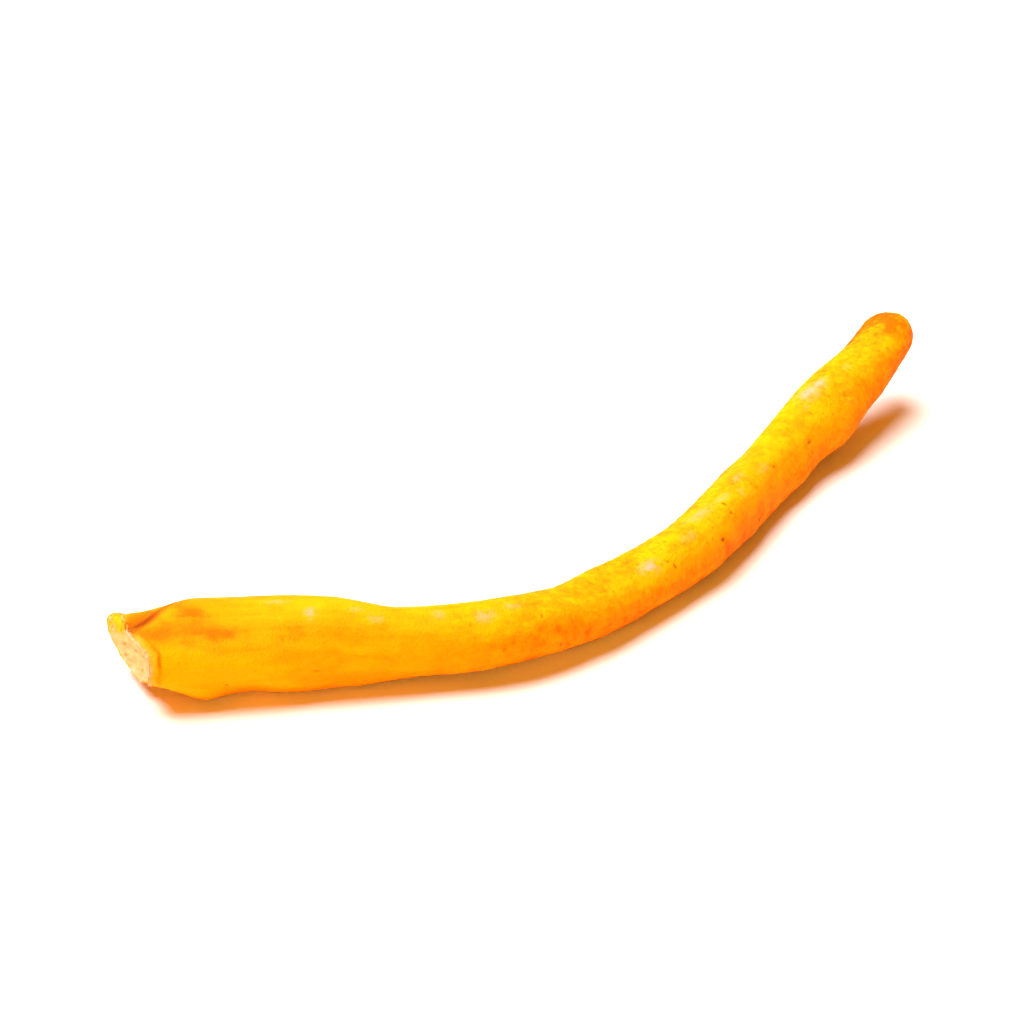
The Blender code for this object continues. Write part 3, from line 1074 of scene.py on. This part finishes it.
def remap(value, low, high, to_low=0.0, to_high=1.0):
    """A smooth step of the value between low and high, from to_low to to_high."""
    sockets = {"Value": value, "From Min": low, "From Max": high}
    sockets |= {"To Min": to_low, "To Max": to_high}
    return put("ShaderNodeMapRange", {"interpolation_type": "SMOOTHSTEP"}, sockets).outputs[0]


def thinned(mask, by, low, high):
    """The mask times a share that goes from low to high as by rises from 0 to 1."""
    return times(mask, remap(by, 0.0, 1.0, low, high))


def attribute(tree, name):
    """A piece's own attribute: its vector output for grown, or else its value."""
    node = tree.nodes.new("ShaderNodeAttribute")
    node.attribute_name = name
    return node.outputs["Vector" if name == "grown" else "Fac"]


def new_group(name, output, **values):
    """The output node, inputs and pattern, place and scale, of a new shader group with a Place,
    float inputs with those values and one float output."""
    group = bpy.data.node_groups.new(name, "ShaderNodeTree")
    group.interface.new_socket("Place", in_out="INPUT", socket_type="NodeSocketVector")
    for label, value in values.items():
        socket = group.interface.new_socket(label, in_out="INPUT", socket_type="NodeSocketFloat")
        socket.default_value = value
    group.interface.new_socket(output, in_out="OUTPUT", socket_type="NodeSocketFloat")
    given = group.nodes.new("NodeGroupInput").outputs
    pattern = {"Vector": given["Place"], "Scale": worked("DIVIDE", 1.0, given["Size"])}
    return group.nodes.new("NodeGroupOutput"), given, pattern


def mottle_group():
    """Soft cloudy patches: noise of the given size in mm, cut between two levels."""
    out, given, pattern = new_group("mottle", "Mask", Size=1.0, Seed=0.0, Low=0.4, High=0.6)
    pattern |= {"W": given["Seed"], "Detail": 3.0, "Roughness": 0.55}
    cloudy = put("ShaderNodeTexNoise", {"noise_dimensions": "4D"}, pattern).outputs[0]
    fill(out, {0: remap(cloudy, given["Low"], given["High"])})


def speckle_group():
    """Small round specks: the points of a cell pattern of the given size, those whose own value
    is below the share, as wide as the radius in cell sizes."""
    out, given, pattern = new_group("speckle", "Mask", Size=0.5, Radius=0.3, Share=0.5)
    cells = put("ShaderNodeTexVoronoi", {}, pattern).outputs
    spot = remap(cells["Distance"], times(given["Radius"], 0.35), given["Radius"], 1.0, 0.0)
    own = put("ShaderNodeSeparateColor", {}, {0: cells["Color"]}).outputs[0]
    fill(out, {0: times(spot, worked("LESS_THAN", own, given["Share"]))})


def dry_grain_group():
    """The height, 0 to 1, of a dry finely granular surface: small domes of a cell pattern with
    finer noise on them."""
    out, given, pattern = new_group("dry_grain", "Height", Size=0.15, Domes=0.5)
    cells = put("ShaderNodeTexVoronoi", {"feature": "SMOOTH_F1"}, pattern | {"Smoothness": 0.4})
    dome = remap(cells.outputs["Distance"], 0.1, 0.7, 1.0, 0.0)
    pattern |= {"Scale": times(pattern["Scale"], 1.7), "Detail": 3.0, "Roughness": 0.6}
    finer = put("ShaderNodeTexNoise", {}, pattern).outputs[0]
    fill(out, {0: plus(times(dome, given["Domes"]), finer)})


for make_group in (mottle_group, speckle_group, dry_grain_group):
    make_group()


def use(name, **values):
    """The output of a group placed in the tree of its Place, with its inputs filled by name."""
    node = values["Place"].id_data.nodes.new("ShaderNodeGroup")
    node.node_tree = bpy.data.node_groups[name]
    fill(node, values)
    return node.outputs[0]


def cloud(place, size, seed, low, high):
    """The mottle group's mask, with those four values."""
    return use("mottle", Place=place, Size=size, Seed=seed, Low=low, High=high)


def grained(shader, place, size, domes, depth):
    """Feeds dry grain of that size to the shader's normal."""
    height = use("dry_grain", Place=place, Size=size, Domes=domes)
    normal = put("ShaderNodeBump", {}, {"Height": height, "Distance": depth}).outputs[0]
    fill(shader, {"Normal": normal})


def new_material(name, values):
    """A new material and its shader, with plain values set on the shader."""
    material = bpy.data.materials.new(name)
    material.use_nodes = True
    shader = material.node_tree.nodes["Principled BSDF"]
    fill(shader, values)
    return material, shader


# ---- materials; at holds the piece's own attributes and the clouds by name


def layered(ground, at, name, low, high, colour):
    """The ground with a colour over it that comes in as the mask rises from low to high."""
    return blend(remap(at[name], low, high), ground, colour)


def ground_colour(at):
    """Deep orange, orange or yellow-orange by the tone: the tint, plus clouds of three sizes
    and the granules, stronger on the club, less the wrinkles.  The tint carries painted light
    and shade, and the granules and wrinkles paint light and shade on the relief."""
    tone = plus(at["tint"], swing(at["broad"], *TONE_BROAD))
    grainy = remap(at["fertile"], *TONE_GRAINY)
    for name, size, middle in TONE_PARTS:
        tone = plus(tone, times(swing(at[name], size, middle), grainy))
    tone = worked("SUBTRACT", tone, times(at["wrinkle"], TONE_WRINKLE))
    skin = blend(remap(tone, *TONE_TO_ORANGE), DEEP_ORANGE, ORANGE)
    return blend(remap(tone, *TONE_TO_YELLOW), skin, YELLOW_ORANGE)


def specked(skin, at):
    """The skin with its specks, stronger on the club, and with faint rust stains."""
    for stretch, size, radius, share, on_stalk, on_club, colour in SPECKS:
        place = put("ShaderNodeVectorMath", {"operation": "MULTIPLY"}, {0: at["grown"], 1: stretch})
        specks = use("speckle", Place=place.outputs[0], Size=size, Radius=radius, Share=share)
        skin = blend(thinned(specks, at["fertile"], on_stalk, on_club), skin, colour)
    return blend(times(at["stain"], STAIN_STRENGTH), skin, RUST)


def pale_patched(skin, at):
    """The skin with its pale patches, broken cream with a rose white heart, and their mask."""
    pale_patch = times(remap(at["pale"], *PALE_LEVELS), at["broken"])
    skin = blend(times(pale_patch, PALE_STRENGTH), skin, CREAM)
    heart = thinned(remap(at["pale"], *PALE_HEART), at["broken"], *HEART_LEFT)
    return blend(heart, skin, ROSE_WHITE), pale_patch


def marked(skin, at):
    """The skin with its dark pits, the rust seam, the yellow lip, and the crease's painted shade."""
    skin = layered(skin, at, *PIT_LAYER)
    skin = blend(thinned(at["seam"], at["small"], *SEAM_LEFT), skin, RUST)
    lip = thinned(at["lip"], at["worn"], *LIP_LEFT)
    rim = thinned(at["rim"], at["fine"], *RIM_LEFT)
    skin = blend(worked("MAXIMUM", lip, rim), skin, LIP_YELLOW)
    for layer in CREASE_SHADE_LAYERS:
        skin = layered(skin, at, *layer)
    return skin


def flesh_colour(at):
    """Peach and cream in streaks, honey in its wedge, painted shade in amber in the cleft, and
    deeper in the pinholes and pores."""
    streaks = plus(at["crumbly"], swing(at["streak"], *STREAK_SWING))
    flesh = blend(streaks, FLESH_PEACH, FLESH_CREAM)
    honey = at["honey"]
    for name, size, middle in HONEY_SWINGS:
        honey = plus(honey, swing(at[name], size, middle))
    flesh = blend(remap(honey, *HONEY_LEVELS), flesh, FLESH_HONEY)
    flesh = layered(flesh, at, *CLEFT_LAYER)
    pinholes = use("speckle", Place=at["grown"], **PINHOLES)
    flesh = blend(times(pinholes, PINHOLE_STRENGTH), flesh, FLESH_DEEP)
    return blend(times(at["pore"], PORE_STRENGTH), flesh, FLESH_DEEP)


def dried_skin():
    """Dry granular skin, yellow-orange to rust, pale in places, with painted light on the crown and
    flanks and painted shade in the crease, and the cream crumbly flesh of the cut."""
    material, shader = new_material("dried_skin", SKIN_SHADER)
    at = {name: attribute(material.node_tree, name) for name in MASKS}
    at |= {name: cloud(at["grown"], *values) for name, values in SKIN_CLOUDS.items()}
    skin, pale_patch = pale_patched(specked(ground_colour(at), at), at)
    cut = remap(plus(at["flesh"], swing(at["small"], *CUT_SWING)), *CUT_LEVELS)
    skin = blend(cut, marked(skin, at), flesh_colour(at))
    skin = blend(at["crumb"], skin, FLESH_WHITE)
    rough = worked("MULTIPLY_ADD", at["fine"], *ROUGH_BY_CLOUD)
    rough = plus(rough, times(pale_patch, ROUGH_PALE))
    rough = plus(rough, times(cut, ROUGH_CUT))
    fill(shader, {"Base Color": skin, "Roughness": rough})
    grained(shader, at["grown"], *SKIN_GRAIN)
    return material


def torn_fibre():
    """The fibres of the cut, cream to white."""
    material, shader = new_material("torn_fibre", FIBRE_SHADER)
    grown = attribute(material.node_tree, "grown")
    tone = cloud(grown, *FIBRE_CLOUD)
    rough = remap(tone, 0.0, 1.0, *FIBRE_ROUGH)
    fill(shader, {"Base Color": blend(tone, FLESH_CREAM, FLESH_WHITE), "Roughness": rough})
    grained(shader, grown, *FIBRE_GRAIN)
    return material


# ---- stage

VIEW_ELEVATION = 32.0
VIEW_DISTANCE = 0.2
VIEW_TARGET = np.array([-1.55, -0.52, 2.2]) * MM
VIEW_HALF_WIDTH = 225 / 1440  # of the picture, as a share of the distance
VIEW_CLIP = 0.005
SENSOR_WIDTH = 36.0

#    name, from, width in degrees, strength, colour
LIGHTS = (
    ("high_light", (-0.36, 0.32, 1.0), 54.0, 9.3, (1.0, 1.0, 1.0)),
    ("low_light", (-0.60, -0.80, 0.10), 30.0, 5.2, (1.0, 0.72, 0.10)),
    ("side_light", (0.55, -0.65, 0.52), 60.0, 0.9, (1.0, 0.72, 0.10)),
)
WHITE = (1, 1, 1, 1)
WARM_SHINE = (0.5, 0.105, 0.003, 1)
FLOOR_CORNERS = ((-3, -3), (3, -3), (3, 3), (-3, 3))
FLOOR_LEVEL = -0.00002
FLOOR_SHADER = {"Base Color": (0.62, 0.62, 0.62, 1), "Roughness": 0.8, "Specular IOR Level": 0.1}


def pale_floor():
    """A plain pale sheet just under the piece."""
    mesh = bpy.data.meshes.new("floor")
    mesh.from_pydata([(*corner, FLOOR_LEVEL) for corner in FLOOR_CORNERS], [], [(0, 1, 2, 3)])
    mesh.materials.append(new_material("floor_white", FLOOR_SHADER)[0])
    floor = added("floor", mesh)


def turn_to(thing, place, target):
    """Puts a camera or lamp at the place, its -Z axis on the target and its Y axis up."""
    back = unit(place - target)
    right = unit(np.cross([0.0, 0.0, 1.0], back))
    matrix = np.eye(4)
    matrix[:3, :3] = np.stack([right, np.cross(back, right), back], axis=1)
    matrix[:3, 3] = place
    thing.matrix_world = Matrix(matrix.tolist())


def soft_light(name, place, width, strength, colour):
    """One wide distant light."""
    light = bpy.data.lights.new(name, "SUN")
    light.energy = strength
    light.angle = np.radians(width)
    light.color = colour
    turn_to(added(name, light), np.array(place), np.zeros(3))


def surroundings():
    """White where the camera looks past the floor; what they shed on the piece is warm."""
    world = bpy.data.worlds.new("surroundings")
    world.use_nodes = True
    nodes = world.node_tree.nodes
    seen = nodes.new("ShaderNodeLightPath").outputs["Is Camera Ray"]
    fill(nodes["Background"], {"Color": blend(seen, WARM_SHINE, WHITE)})
    bpy.context.scene.world = world


def studio():
    """The floor, the light, the surroundings, and the camera, which stands in front of the target
    at its distance and elevation."""
    pale_floor()
    for light in LIGHTS:
        soft_light(*light)
    surroundings()
    scene = bpy.context.scene
    scene.view_settings.view_transform = "Standard"
    scene.view_settings.look = "None"

    lens = bpy.data.cameras.new("camera")
    lens.sensor_width = SENSOR_WIDTH
    lens.lens = SENSOR_WIDTH / 2 / VIEW_HALF_WIDTH
    lens.clip_start = VIEW_CLIP
    rise = np.radians(VIEW_ELEVATION)
    place = VIEW_TARGET + VIEW_DISTANCE * np.array([0.0, -np.cos(rise), np.sin(rise)])
    scene.camera = added("camera", lens)
    turn_to(scene.camera, place, VIEW_TARGET)


# ---- the piece

skin = fruiting_body()
skin.data.materials.append(dried_skin())
fibres = cut_fibres()
fibres.data.materials.append(torn_fibre())
for piece in (skin, fibres):
    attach(piece, "root")
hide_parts("fruiting_body")
studio()
